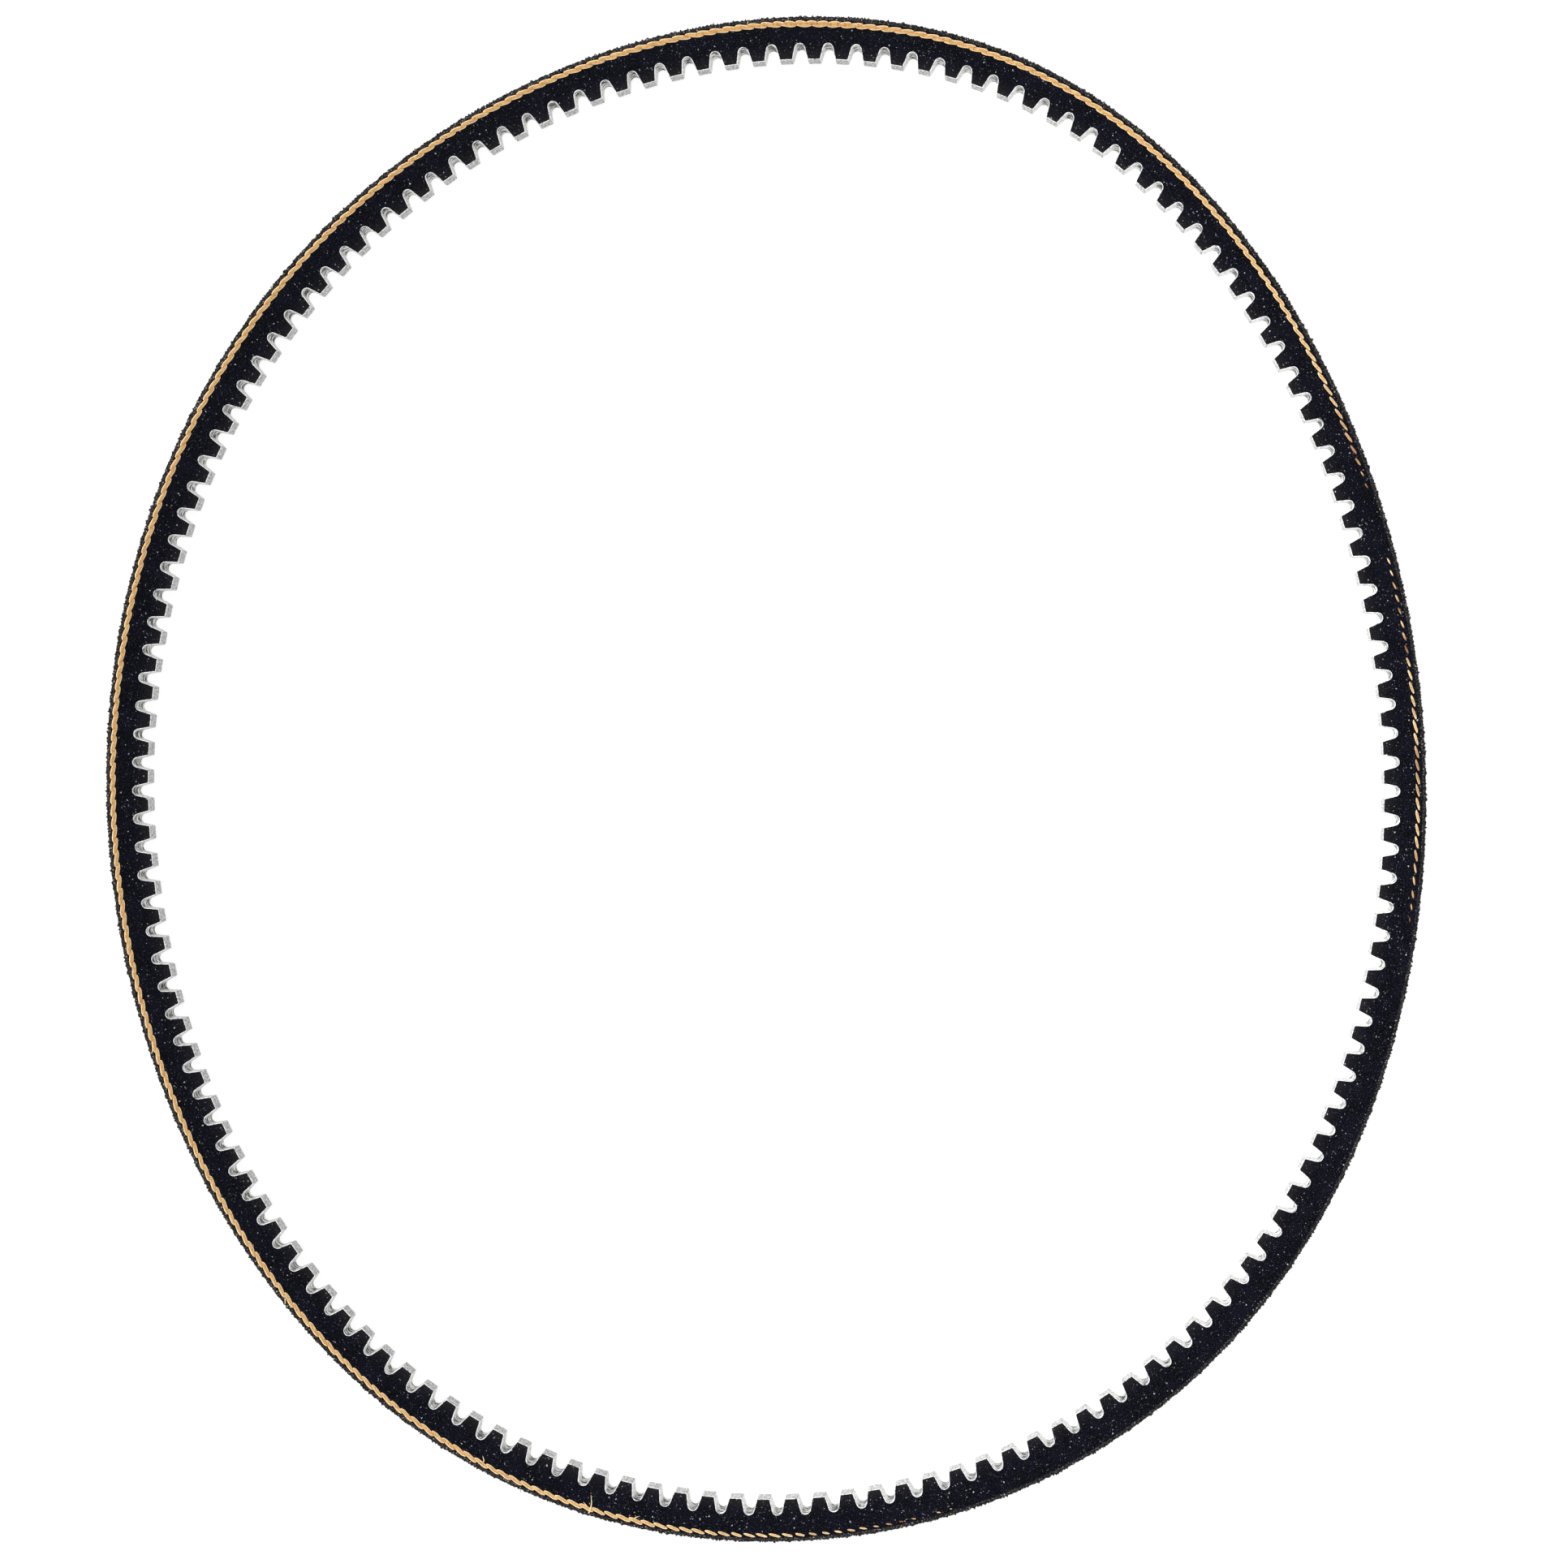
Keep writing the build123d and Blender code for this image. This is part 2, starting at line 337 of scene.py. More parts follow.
def cord_axis_height(along, turn):
    """Height of the cord's axis on one of its turns."""
    if turn in UPPER_TURNS:
        return half_width(CORD_DEPTH) - cord_cover(along, turn) / cos(FLANK_LEAN)
    if turn in LOWER_TURNS:
        return cord_cover(along, turn) / cos(FLANK_LEAN) - half_width(CORD_DEPTH)
    return CORD_TOP_HEIGHT + CORD_RISE * (along / CORD_LOOP - turn)


def cord_shown(along, side):
    """How much of the cord shows on a cut side: 0 where it is buried or gone, 1 where it is cut in half."""
    outer, inner = UPPER_TURNS if side > 0 else LOWER_TURNS
    covers = np.minimum(np.abs(cord_cover(along, outer)), np.abs(cord_cover(along, inner)))
    return fade(CORD_RADIUS - covers, 0, CORD_RADIUS) ** 0.5


# ---------------------------------------- node helpers
def feed(tree, target, value):
    """Gives an input a value, or links another node's output to it."""
    if isinstance(value, bpy.types.NodeSocket):
        tree.links.new(value, target)
    else:
        target.default_value = value


def add_node(tree, kind, inputs=None, **settings):
    node = tree.nodes.new(kind)
    for name, value in settings.items():
        setattr(node, name, value)
    for name, value in (inputs or {}).items():
        feed(tree, node.inputs[name], value)
    return node


def math_node(tree, operation, first, second=0.0, third=0.0):
    node = add_node(tree, "ShaderNodeMath", operation=operation)
    for target, value in zip(node.inputs, (first, second, third)):
        feed(tree, target, value)
    return node.outputs[0]


def mix_colour(tree, factor, first, second):
    node = add_node(tree, "ShaderNodeMix", data_type="RGBA")
    for slot_number, value in ((0, factor), (6, first), (7, second)):
        if isinstance(value, tuple):
            value = (*value, 1.0)
        feed(tree, node.inputs[slot_number], value)
    return node.outputs[2]


def tint(tree, base, colour, mask, share=None):
    """Lays a colour over the base where a mask is high, and only a share of it if one is given."""
    if share is not None:
        mask = math_node(tree, "MULTIPLY", mask, share)
    return mix_colour(tree, mask, base, colour)


def lengths(tree, scale=(1.0, 1.0), turn=0.0):
    """The UV map in millimetres, scaled and turned by some degrees."""
    uv = add_node(tree, "ShaderNodeUVMap", uv_map="lengths").outputs["UV"]
    mapping = add_node(tree, "ShaderNodeMapping", {"Vector": uv})
    mapping.inputs["Rotation"].default_value = (0, 0, radians(turn))
    mapping.inputs["Scale"].default_value = (*scale, 1.0)
    return mapping.outputs[0]


def noise(tree, vector, scale, detail=4.0, roughness=0.6):
    inputs = {"Vector": vector, "Scale": scale, "Detail": detail, "Roughness": roughness}
    return add_node(tree, "ShaderNodeTexNoise", inputs).outputs["Fac"]


def level_of(tree, name):
    return add_node(tree, "ShaderNodeAttribute", attribute_name=name).outputs["Fac"]


def ramp(tree, value, low, high):
    """0 at low, 1 at high, straight between and level beyond. low may be the greater one."""
    inputs = {"Value": value, "From Min": low, "From Max": high}
    return add_node(tree, "ShaderNodeMapRange", inputs, clamp=True).outputs[0]


def new_material(name):
    material = bpy.data.materials.new(name)
    material.use_nodes = True
    tree = material.node_tree
    return material, tree, tree.nodes["Principled BSDF"]


def set_surface(tree, shader, colour, roughness, specular):
    feed(tree, shader.inputs["Base Color"], colour)
    feed(tree, shader.inputs["Roughness"], roughness)
    feed(tree, shader.inputs["Specular IOR Level"], specular)


def set_relief(tree, shader, height, distance, strength=0.8):
    """Shades a surface as if it rose by a distance in millimetres where the height is 1."""
    inputs = {"Height": height, "Distance": distance * MILLIMETRE, "Strength": strength}
    feed(tree, shader.inputs["Normal"], add_node(tree, "ShaderNodeBump", inputs).outputs["Normal"])


# ---------------------------------------- cut rubber
# Fibre ends in the cut rubber: (scale along and across, turn, share of cells, size, brightness).
FLECKS = (((0.62, 0.62), 0, 0.22, 0.070, 1.0),
          ((1.1, 1.1), 20, 0.26, 0.10, 0.55),
          ((2.4, 2.4), 50, 0.28, 0.16, 0.18),
          ((0.40, 1.3), 24, 0.09, 0.08, 0.45),
          ((0.44, 1.2), -38, 0.09, 0.08, 0.35))
FLECK_WARP = (6.0, 0.35)    # scale and amount of the noise that makes their outlines ragged
FLECK_SOFTNESS = 0.55       # a fleck fades from this share of its radius outwards

PURE_RUBBER = (0.0006, 0.0006, 0.0013)
BLUISH_RUBBER = (0.0022, 0.0026, 0.0060)
DUSTY_RUBBER = (0.022, 0.023, 0.034)
RUBBED_RUBBER = (0.020, 0.018, 0.019)
FIBRE_END = (0.60, 0.62, 0.66)


def warped(tree, vector, scale, amount):
    """Coordinates pushed about by noise."""
    wobble = add_node(tree, "ShaderNodeTexNoise", {"Vector": vector, "Scale": scale, "Detail": 2.0})
    shift = add_node(tree, "ShaderNodeVectorMath", operation="MULTIPLY_ADD")
    for target, value in zip(shift.inputs, (wobble.outputs["Color"], (amount, amount, 0.0), vector)):
        feed(tree, target, value)
    return shift.outputs[0]


def specks(tree, vector, cell_share, size):
    """Scattered flecks: (mask, brightness). Only some of the cells of a pattern hold a fleck."""
    vector = warped(tree, vector, *FLECK_WARP)
    cells = add_node(tree, "ShaderNodeTexVoronoi", {"Vector": vector, "Scale": 1.0}, voronoi_dimensions="2D")
    channels = add_node(tree, "ShaderNodeSeparateColor", {"Color": cells.outputs["Color"]})
    chosen = math_node(tree, "LESS_THAN", channels.outputs[0], cell_share)
    radius = math_node(tree, "MULTIPLY_ADD", channels.outputs[1], size, size * 0.4)
    inside = math_node(tree, "DIVIDE", cells.outputs["Distance"], radius)
    mask = math_node(tree, "SUBTRACT", 1.0, ramp(tree, inside, FLECK_SOFTNESS, 1.0))
    return math_node(tree, "MULTIPLY", mask, chosen), channels.outputs[2]


def fibre_flecks(tree):
    """Ends and cut lengths of the short fibres in the rubber, as one brightness."""
    total = None
    for scale, turn, share, size, brightest in FLECKS:
        mask, brightness = specks(tree, lengths(tree, scale, turn), share, size)
        lit = math_node(tree, "MULTIPLY_ADD", brightness, brightest * 0.75, brightest * 0.25)
        fleck = math_node(tree, "MULTIPLY", mask, lit)
        total = fleck if total is None else math_node(tree, "MAXIMUM", total, fleck)
    return total


def rubber_material():
    """Cut black rubber: near-black with a blue cast, pale fibre ends, and rubbed browner towards the tips."""
    material, tree, shader = new_material("cut_rubber")
    cloud = noise(tree, lengths(tree), 0.22, 3)
    grain = noise(tree, lengths(tree), 4.0, 4, 0.75)
    flecks = fibre_flecks(tree)
    colour = mix_colour(tree, ramp(tree, cloud, 0.35, 0.65), PURE_RUBBER, BLUISH_RUBBER)
    colour = tint(tree, colour, DUSTY_RUBBER, ramp(tree, grain, 0.50, 0.70))
    colour = tint(tree, colour, RUBBED_RUBBER, level_of(tree, "rim"), ramp(tree, grain, 0.3, 0.6))
    colour = tint(tree, colour, FIBRE_END, flecks)
    set_surface(tree, shader, colour, math_node(tree, "MULTIPLY_ADD", grain, 0.2, 0.25), 0.04)
    relief = math_node(tree, "ADD", math_node(tree, "MULTIPLY", grain, 0.6),
                       math_node(tree, "MULTIPLY", flecks, 0.5))
    set_relief(tree, shader, relief, 0.06, 0.6)
    return material


# ---------------------------------------- woven covers
def woven_height(tree, pitch, turn, skew=0.0):
    """Height of a plain weave whose threads have a pitch in millimetres, and how far its gaps are filled."""
    axes = add_node(tree, "ShaderNodeSeparateXYZ", {"Vector": lengths(tree, (pi / pitch, pi / pitch), turn)})
    second = math_node(tree, "MULTIPLY_ADD", axes.outputs[0], skew, axes.outputs[1])
    waves = [math_node(tree, "SINE", axis) for axis in (axes.outputs[0], second)]
    over = math_node(tree, "MULTIPLY", *waves)
    filled = math_node(tree, "MAXIMUM", *(math_node(tree, "ABSOLUTE", wave) for wave in waves))
    return math_node(tree, "MULTIPLY_ADD", over, 0.5, 0.5), filled


FACING_THREAD_PITCH = 0.36
LOW_THREAD = (0.40, 0.40, 0.40)
HIGH_THREAD = (0.58, 0.58, 0.58)
PALE_PATCH = (0.76, 0.755, 0.75)
WORN_PATCH = (0.22, 0.215, 0.21)
PAINTED_CREASE_HIGHLIGHT = (0.92, 0.92, 0.91)
PAINTED_CREASE_SHADE = (0.07, 0.07, 0.072)
NEAR_WHITE_WALL = (0.93, 0.93, 0.92)
DARK_RIM = (0.12, 0.12, 0.12)
PALE_RIM = (0.88, 0.88, 0.87)


def facing_material():
    """Light grey knitted cover of the cogs, with painted highlights and painted shade on the wrinkles in the
    roots of the notches.
    """
    material, tree, shader = new_material("cog_cover")
    over, filled = woven_height(tree, FACING_THREAD_PITCH, 0)
    patch = noise(tree, lengths(tree, (1.0, 0.3)), 2.4, 4, 0.75)
    creased = {"Vector": lengths(tree, (0.6, 1.3)), "Scale": 1.0, "Detail": 3.5, "Distortion": 0.6}
    crease = add_node(tree, "ShaderNodeTexNoise", creased).outputs["Fac"]
    in_root = level_of(tree, "root")
    colour = mix_colour(tree, over, LOW_THREAD, HIGH_THREAD)
    colour = tint(tree, colour, PALE_PATCH, ramp(tree, patch, 0.51, 0.58))
    colour = tint(tree, colour, WORN_PATCH, ramp(tree, patch, 0.48, 0.40), 0.7)
    # Painted highlights and painted shade on the wrinkles in the roots of the notches.
    colour = tint(tree, colour, PAINTED_CREASE_HIGHLIGHT, ramp(tree, crease, 0.46, 0.42), in_root)
    colour = tint(tree, colour, PAINTED_CREASE_SHADE, ramp(tree, crease, 0.51, 0.55), in_root)
    # The steep notch walls are painted near-white in patches, set by their slope.
    colour = tint(tree, colour, NEAR_WHITE_WALL, level_of(tree, "wall"), ramp(tree, patch, 0.38, 0.48))
    edge_patch = ramp(tree, noise(tree, lengths(tree), 1.6, 3), 0.34, 0.50)
    edge = mix_colour(tree, edge_patch, DARK_RIM, PALE_RIM)
    colour = tint(tree, colour, edge, level_of(tree, "rim"), 0.8)
    set_surface(tree, shader, colour, 0.85, 0.1)
    relief = math_node(tree, "MULTIPLY_ADD", crease, 2.0, math_node(tree, "MULTIPLY", over, filled))
    set_relief(tree, shader, relief, 0.07)
    return material


THREAD_SKEW = 0.25          # the back's two sets of threads don't cross squarely
DEEP_THREAD = (0.0020, 0.0020, 0.0024)
RAISED_THREAD = (0.010, 0.010, 0.012)
WORN_THREAD = (0.024, 0.024, 0.027)
CUT_THREAD = (0.130, 0.118, 0.110)
LINT = (0.42, 0.41, 0.39)


def back_material():
    """Rubber-soaked black weave of the back: threads on the bias, greyer where they are cut or rubbed."""
    material, tree, shader = new_material("woven_back")
    over, _ = woven_height(tree, THREAD_PITCH, THREAD_TURN, THREAD_SKEW)
    fuzz = noise(tree, lengths(tree), 3.5, 5, 0.75)
    wear = noise(tree, lengths(tree), 0.12, 3)
    cut = level_of(tree, "cut")
    mask, brightness = specks(tree, lengths(tree, (1.9, 1.9), 11), 0.45, 0.22)
    colour = mix_colour(tree, over, DEEP_THREAD, RAISED_THREAD)
    colour = tint(tree, colour, WORN_THREAD, ramp(tree, wear, 0.45, 0.75), 0.4)
    colour = tint(tree, colour, CUT_THREAD, ramp(tree, fuzz, 0.52, 0.64), cut)
    colour = tint(tree, colour, LINT, mask, math_node(tree, "MULTIPLY", cut, brightness))
    set_surface(tree, shader, colour, math_node(tree, "MULTIPLY_ADD", fuzz, 0.3, 0.55), 0.12)
    set_relief(tree, shader, math_node(tree, "MULTIPLY_ADD", fuzz, 0.5, over), 0.09)
    return material


# ---------------------------------------- yarn and loose fibres
SHADED_YARN = (0.38, 0.18, 0.050)
LIT_YARN = (0.84, 0.56, 0.25)
BROWN_YARN = (0.34, 0.15, 0.040)
FLUFFED_YARN = (0.93, 0.73, 0.43)
SOILED_YARN = (0.25, 0.09, 0.035)
PAINTED_PLY_CREASE_SHADE = (0.27, 0.105, 0.026)
BURIED_YARN = (0.13, 0.055, 0.017)


def cord_material():
    """Tan polyester yarn: cut faces with pale rims, filaments that run along each ply, and painted brown
    shade in the creases between plies.
    """
    material, tree, shader = new_material("tan_cord")
    filaments = noise(tree, lengths(tree, (0.5, 5.0), 4), 1.6, 5, 0.7)
    mottle = noise(tree, lengths(tree, (1.0, 3.0)), 2.2, 4, 0.7)
    from_rim = level_of(tree, "from_rim")
    rim = math_node(tree, "MULTIPLY_ADD", mottle, 0.12, from_rim)
    colour = mix_colour(tree, ramp(tree, filaments, 0.36, 0.66), SHADED_YARN, LIT_YARN)
    colour = tint(tree, colour, BROWN_YARN, ramp(tree, mottle, 0.50, 0.58), 0.85)
    colour = tint(tree, colour, FLUFFED_YARN, ramp(tree, rim, 0.24, 0.16), 0.8)
    colour = tint(tree, colour, SOILED_YARN, level_of(tree, "soiled"))
    # Painted shade in the creases between the cut faces of neighbouring plies.
    colour = tint(tree, colour, PAINTED_PLY_CREASE_SHADE, ramp(tree, level_of(tree, "from_crease"), 0.16, 0.0), 0.95)
    colour = tint(tree, colour, BURIED_YARN, ramp(tree, from_rim, 0.01, -0.01), 0.85)
    set_surface(tree, shader, colour, 0.7, 0.2)
    set_relief(tree, shader, filaments, 0.10)
    return material


BLACK_FIBRE = (0.004, 0.004, 0.005)
GREY_FIBRE = (0.16, 0.155, 0.15)


def fray_material():
    """Loose black and grey fibre ends."""
    material, tree, shader = new_material("frayed_fibre")
    colour = mix_colour(tree, level_of(tree, "shade"), BLACK_FIBRE, GREY_FIBRE)
    set_surface(tree, shader, colour, 0.8, 0.15)
    return material


RUBBER = rubber_material()
COG_COVER = facing_material()
BACK = back_material()
CORD = cord_material()
FRAY = fray_material()


# ---------------------------------------- woven back
BACK_CELLS = 24             # rings to a notch
BACK_ACROSS = 36            # cells across the woven face
BACK_UNDERSIDE = 3          # and across the side that lies on the bed
EDGE_ROWS = 5               # cells down each cut edge
WEAVE_RELIEF = 0.035
BACK_NOISE = loop_noise(21, COG_COUNT * BACK_CELLS, 4 * EDGE_ROWS)
JAG_RISE = 0.26             # height of the teeth of the ragged edge
SPIKE_RISE = 0.22           # and how much higher its few spikes are
SPIKE_FROM = 0.84           # random values above this one make a spike
EDGE_DROP = 0.11            # the teeth start this far below the back
INNER_SHARE = 0.5           # the next row inwards rises by this share of the teeth
INNER_DROP = 0.08
EDGE_SWAY = 0.16            # how far the teeth sway across the belt
EDGE_INSET = 0.12
SIDE_JAG = 0.14             # roughness of the cut edge itself
SIDE_EASING = 0.2           # and the share of it that is left beside the bed


def back_weave(along, height):
    """Rise of the crossing bias threads above the back."""
    angle = radians(THREAD_TURN)
    turns_round = round(CORD_LOOP * cos(angle) / THREAD_PITCH / 2) * 2
    first = pi * (along / CORD_LOOP * turns_round + height * sin(angle) / THREAD_PITCH)
    second = pi * (along / CORD_LOOP * turns_round - height * sin(angle) / THREAD_PITCH)
    return WEAVE_RELIEF * np.sin(first) * np.sin(second)


def fray_back(depths, heights, jag):
    """Moves the points of the back's two cut edges, so that they are ragged."""
    for edge, inwards, column in ((0, 1, 0), (BACK_ACROSS, -1, 4)):
        rise = jag[:, column] * JAG_RISE + np.where(jag[:, column + 2] > SPIKE_FROM, SPIKE_RISE, 0.0)
        depths[:, edge] -= rise - EDGE_DROP
        depths[:, edge + inwards] -= rise * INNER_SHARE - INNER_DROP
        heights[:, edge] += inwards * (jag[:, column + 1] * EDGE_SWAY - EDGE_INSET)
    lower_side = slice(BACK_ACROSS + 1, BACK_ACROSS + 1 + EDGE_ROWS)
    upper_side = slice(-EDGE_ROWS, None)
    easing = np.linspace(1, SIDE_EASING, EDGE_ROWS)
    heights[:, lower_side] += (jag[:, :EDGE_ROWS] - 0.5) * SIDE_JAG * easing
    heights[:, upper_side] += (jag[:, EDGE_ROWS:2 * EDGE_ROWS] - 0.5) * SIDE_JAG * easing[::-1]


def woven_back(length):
    """The back fabric: woven on its face, ragged where its two edges were cut."""
    cells, along = cells_of(length, BACK_CELLS)
    across = np.linspace(HALF_WIDTH, -HALF_WIDTH, BACK_ACROSS + 1)
    down = np.linspace(0, BACK_FABRIC, EDGE_ROWS + 1)[1:]
    underside = np.linspace(-HALF_WIDTH, HALF_WIDTH, BACK_UNDERSIDE + 1)[1:-1]
    under_depth = np.full(len(underside), BACK_FABRIC)
    depth = np.concatenate([np.zeros(BACK_ACROSS + 1), down, under_depth, down[::-1]])
    edge = np.full(EDGE_ROWS, HALF_WIDTH)
    height = np.concatenate([across, -edge, underside, edge])
    depths = np.tile(depth, (len(along), 1))
    heights = np.tile(height, (len(along), 1))
    face = slice(0, BACK_ACROSS + 1)
    depths[:, face] -= back_weave(along[:, None], heights[:, face])
    fray_back(depths, heights, BACK_NOISE[cells])

    rings = belt_points(along[:, None], depths, heights)
    round_back = np.concatenate([across, -HALF_WIDTH - down, np.full(len(underside), -HALF_WIDTH),
                                 HALF_WIDTH + down[::-1]])
    uv = np.stack(np.broadcast_arrays(along[:, None], round_back), axis=-1)
    piece = skin(f"woven_back_{length + 1}", rings, uv, BACK, 60)
    cut = np.ones_like(depth)
    cut[1:BACK_ACROSS] = 0
    set_level(piece, "cut", np.tile(cut, (len(along), 1)))
    join_belt(piece, length, "back_fabric")


# ---------------------------------------- cord bed
BED_CELLS = 16              # rings to a notch
BED_ROWS = np.linspace(BACK_FABRIC, BED_BOTTOM, 17)
BED_ROUGHNESS = 0.03
BED_NOISE = loop_noise(31, COG_COUNT * BED_CELLS, 2)
GROOVE_DEPTH = 0.05
NARROWEST_GROOVE = 0.4      # as a share of the cord's radius, where the cord is buried
OTHER_FLANK = 40.0          # added to the lower flank's UV map, so that the two flanks differ


def groove_depth(along, depth, side):
    """Depth of the open channel beside the cord, deepest where the cord is bare."""
    shown = cord_shown(along, side)[:, None]
    reach_across = CORD_RADIUS * (NARROWEST_GROOVE + (1 - NARROWEST_GROOVE) * shown)
    offset = np.abs(depth[None, :] - CORD_DEPTH) / reach_across
    bowl = np.sqrt(np.clip(1 - offset ** 2, 0, 1))
    return GROOVE_DEPTH * shown * bowl


def cord_bed(length):
    """The soft rubber round the cord, with a channel that opens where the cord was cut into."""
    cells, along = cells_of(length, BED_CELLS)
    rough = BED_ROUGHNESS * BED_NOISE[cells]
    upper = half_width(BED_ROWS) - groove_depth(along, BED_ROWS, 1) - rough[:, :1]
    lower = -half_width(BED_ROWS) + groove_depth(along, BED_ROWS, -1) + rough[:, 1:]
    depths = np.concatenate([BED_ROWS, BED_ROWS[::-1]])
    heights = np.concatenate([upper, lower[:, ::-1]], axis=1)
    rings = belt_points(along[:, None], depths, heights)
    across = np.concatenate([BED_ROWS, BED_ROWS[::-1] + OTHER_FLANK])
    uv = np.stack(np.broadcast_arrays(along[:, None], across), axis=-1)
    piece = skin(f"soft_bed_{length + 1}", rings, uv, RUBBER)
    set_level(piece, "rim", np.zeros(rings.shape[:2]))
    join_belt(piece, length, "cord_bed")


# ---------------------------------------- cog rubber
FLANK_SHARES = np.array([0.0, 0.25, 0.5, 0.75, 0.92, 1.0])   # rows of points down the flank, above its rim
RIM_WIDTH = 0.16
RUBBED_DEPTH = 5.2          # below this the flank has been rubbed by a pulley and is browner
RUBBED_FALLOFF = 1.5


def cog_rubber(length):
    """The cogged body: two cut flanks, with the cogs' outline between them."""
    along, depth = cog_outline(SEAMS[length], SEAMS[length + 1], FACING)
    rows = BED_BOTTOM + (depth[:, None] - RIM_WIDTH - BED_BOTTOM) * FLANK_SHARES
    rows = np.concatenate([rows, depth[:, None]], axis=1)
    depths = np.concatenate([rows, rows[:, ::-1]], axis=1)
    heights = np.concatenate([half_width(rows), -half_width(rows[:, ::-1])], axis=1)
    rings = belt_points(along[:, None], depths, heights)
    across = np.concatenate([rows, rows[:, ::-1] + OTHER_FLANK], axis=1)
    uv = np.stack(np.broadcast_arrays(along[:, None], across), axis=-1)
    piece = skin(f"cogged_body_{length + 1}", rings, uv, RUBBER)
    set_level(piece, "rim", fade(depths, RUBBED_DEPTH, THICKNESS - RUBBED_DEPTH) ** RUBBED_FALLOFF)
    join_belt(piece, length, "cog_rubber")


# ---------------------------------------- cog facing
FACING_ACROSS = 14          # cells across the belt
FACING_OVERHANG = 0.02      # its frayed edge stands a little proud of the flank
UNDER_OVERHANG = 0.6        # the underside's share of that
FACING_RAGGEDNESS = 0.05
FACING_NOISE = loop_noise(41, COG_COUNT * 6, 2)
PUCKER = 0.035              # depth of the facing's long wrinkles
PUCKER_WAVES = (2.1, 5.0)   # their radians to a millimetre along the belt, and from its middle to its edge
ROOT_FADE = (0.4, 0.5)      # a root starts at this share of a notch's depth, and is full this much deeper
WALL_FADE = (0.6, 1 / 3)    # the same for a wall, by the sine of its slope
FACING_SPREAD = 1.7         # about this much longer than the belt, as it follows the notches


def cog_facing(length):
    """The thin cover that follows the cogs and notches, seen from inside the loop."""
    along, depth = cog_outline(SEAMS[length], SEAMS[length + 1], 0.0)
    under_along, under_depth = cog_outline(SEAMS[length], SEAMS[length + 1], FACING)
    share = np.linspace(1, -1, FACING_ACROSS + 1)
    ragged = FACING_RAGGEDNESS * (read_noise(FACING_NOISE, along)[:, None] - 0.5)
    face_height = (half_width(depth)[:, None] + FACING_OVERHANG + ragged) * share
    under_height = (half_width(under_depth)[:, None] + FACING_OVERHANG * UNDER_OVERHANG) * share[::-1]
    waves = along[:, None] * PUCKER_WAVES[0] + share * PUCKER_WAVES[1]
    pucker = PUCKER * np.sin(waves) * (1 - np.abs(share))
    face = belt_points(along[:, None], depth[:, None] + pucker, face_height)
    underside = belt_points(under_along[:, None], under_depth[:, None], under_height)
    rings = np.concatenate([face, underside], axis=1)

    walked = np.concatenate([[0], np.cumsum(np.hypot(np.diff(along), np.diff(depth)))])
    walked += SEAMS[length] * PITCH * FACING_SPREAD
    uv = np.stack(np.broadcast_arrays(walked[:, None], rings[:, :, 2]), axis=-1)
    piece = skin(f"cog_cover_{length + 1}", rings, uv, COG_COVER, 50)

    under_depths = np.broadcast_to(under_depth[:, None], under_height.shape)
    depths = np.concatenate([depth[:, None] + pucker, under_depths], axis=1)
    set_level(piece, "root", fade((THICKNESS - depths) / NOTCH_DEPTH, *ROOT_FADE))
    steepness = np.abs(np.gradient(depth)) / np.hypot(np.gradient(depth), np.gradient(along))
    set_level(piece, "wall", np.broadcast_to(fade(steepness, *WALL_FADE)[:, None], depths.shape))
    rim = np.zeros(rings.shape[1])
    rim[[0, FACING_ACROSS, FACING_ACROSS + 1, -1]] = 1
    set_level(piece, "rim", np.tile(rim, (len(along), 1)))
    join_belt(piece, length, "cog_facing")


# ---------------------------------------- loose fibres
ASKEW = (0.31, 0.22, 0.92)  # a direction that no fibre follows exactly
FIBRE_TAPER = 0.75          # the share of its thickness that a fibre loses towards its tip


def fibre(root, tip, sag, radius, sides=4, steps=4):
    """Rings of one tapering fibre from a root point to a tip, bowed sideways by sag.

    The three points are given as along, depth and height, and the rings come back in the frame's axes.
    """
    share = np.linspace(0, 1, steps)[:, None]
    axis = root + (tip - root) * share + sag * np.sin(share * pi)
    forward = tip - root
    across = np.cross(forward, ASKEW)
    across /= np.linalg.norm(across) + 1e-9
    upward = np.cross(forward, across)
    upward /= np.linalg.norm(upward) + 1e-9
    angle = np.linspace(0, 2 * pi, sides, endpoint=False)
    section = np.cos(angle)[:, None] * across + np.sin(angle)[:, None] * upward
    rings = axis[:, None, :] + section[None] * (radius * (1 - FIBRE_TAPER * share)[:, None])
    return belt_points(rings[..., 0], rings[..., 1], rings[..., 2])


# ---------------------------------------- tension cord
PLIES = 3
LAY = CORD_LOOP / 116       # length of one full twist of the plies
PLY_RADIUS = 0.335
PLY_SPREAD = CORD_RADIUS - PLY_RADIUS
PLY_UNEVENNESS = 0.10
PLY_NOISE = loop_noise(52, COG_COUNT * 4)
PLY_NOISE_SHIFT = 97.0      # each ply reads the noise this much further along
PLY_FLATTENING = 0.11       # a ply that was cut in half has spread this much wider
PLY_CLOSING = 0.8           # and has moved this share of it towards the cord's axis
FLAT_WITHIN = 0.50          # it spreads where the cut is nearer to the cord's axis than this
FLAT_OVER = 0.15            # and in full where it is nearer by this much
CUT_DOME = 0.08             # a cut face's bulge
DOME_EDGE = 0.12            # how far in from its rim the bulge has mostly risen
SUNK = 0.12                 # a ply that is cut away altogether lies this far under the cut
UNCUT = -0.02               # distance from the rim that stands for a ply's uncut surface
FAR_FROM_CREASE = 9.0
FINE_SIDES, FINE_CELLS = 22, 22     # sides of a ply and rings to a notch where the cord was cut
PLAIN_SIDES, PLAIN_CELLS = 7, 6     # and where it is buried
DIRT_NOISE = loop_noise(53, 348)
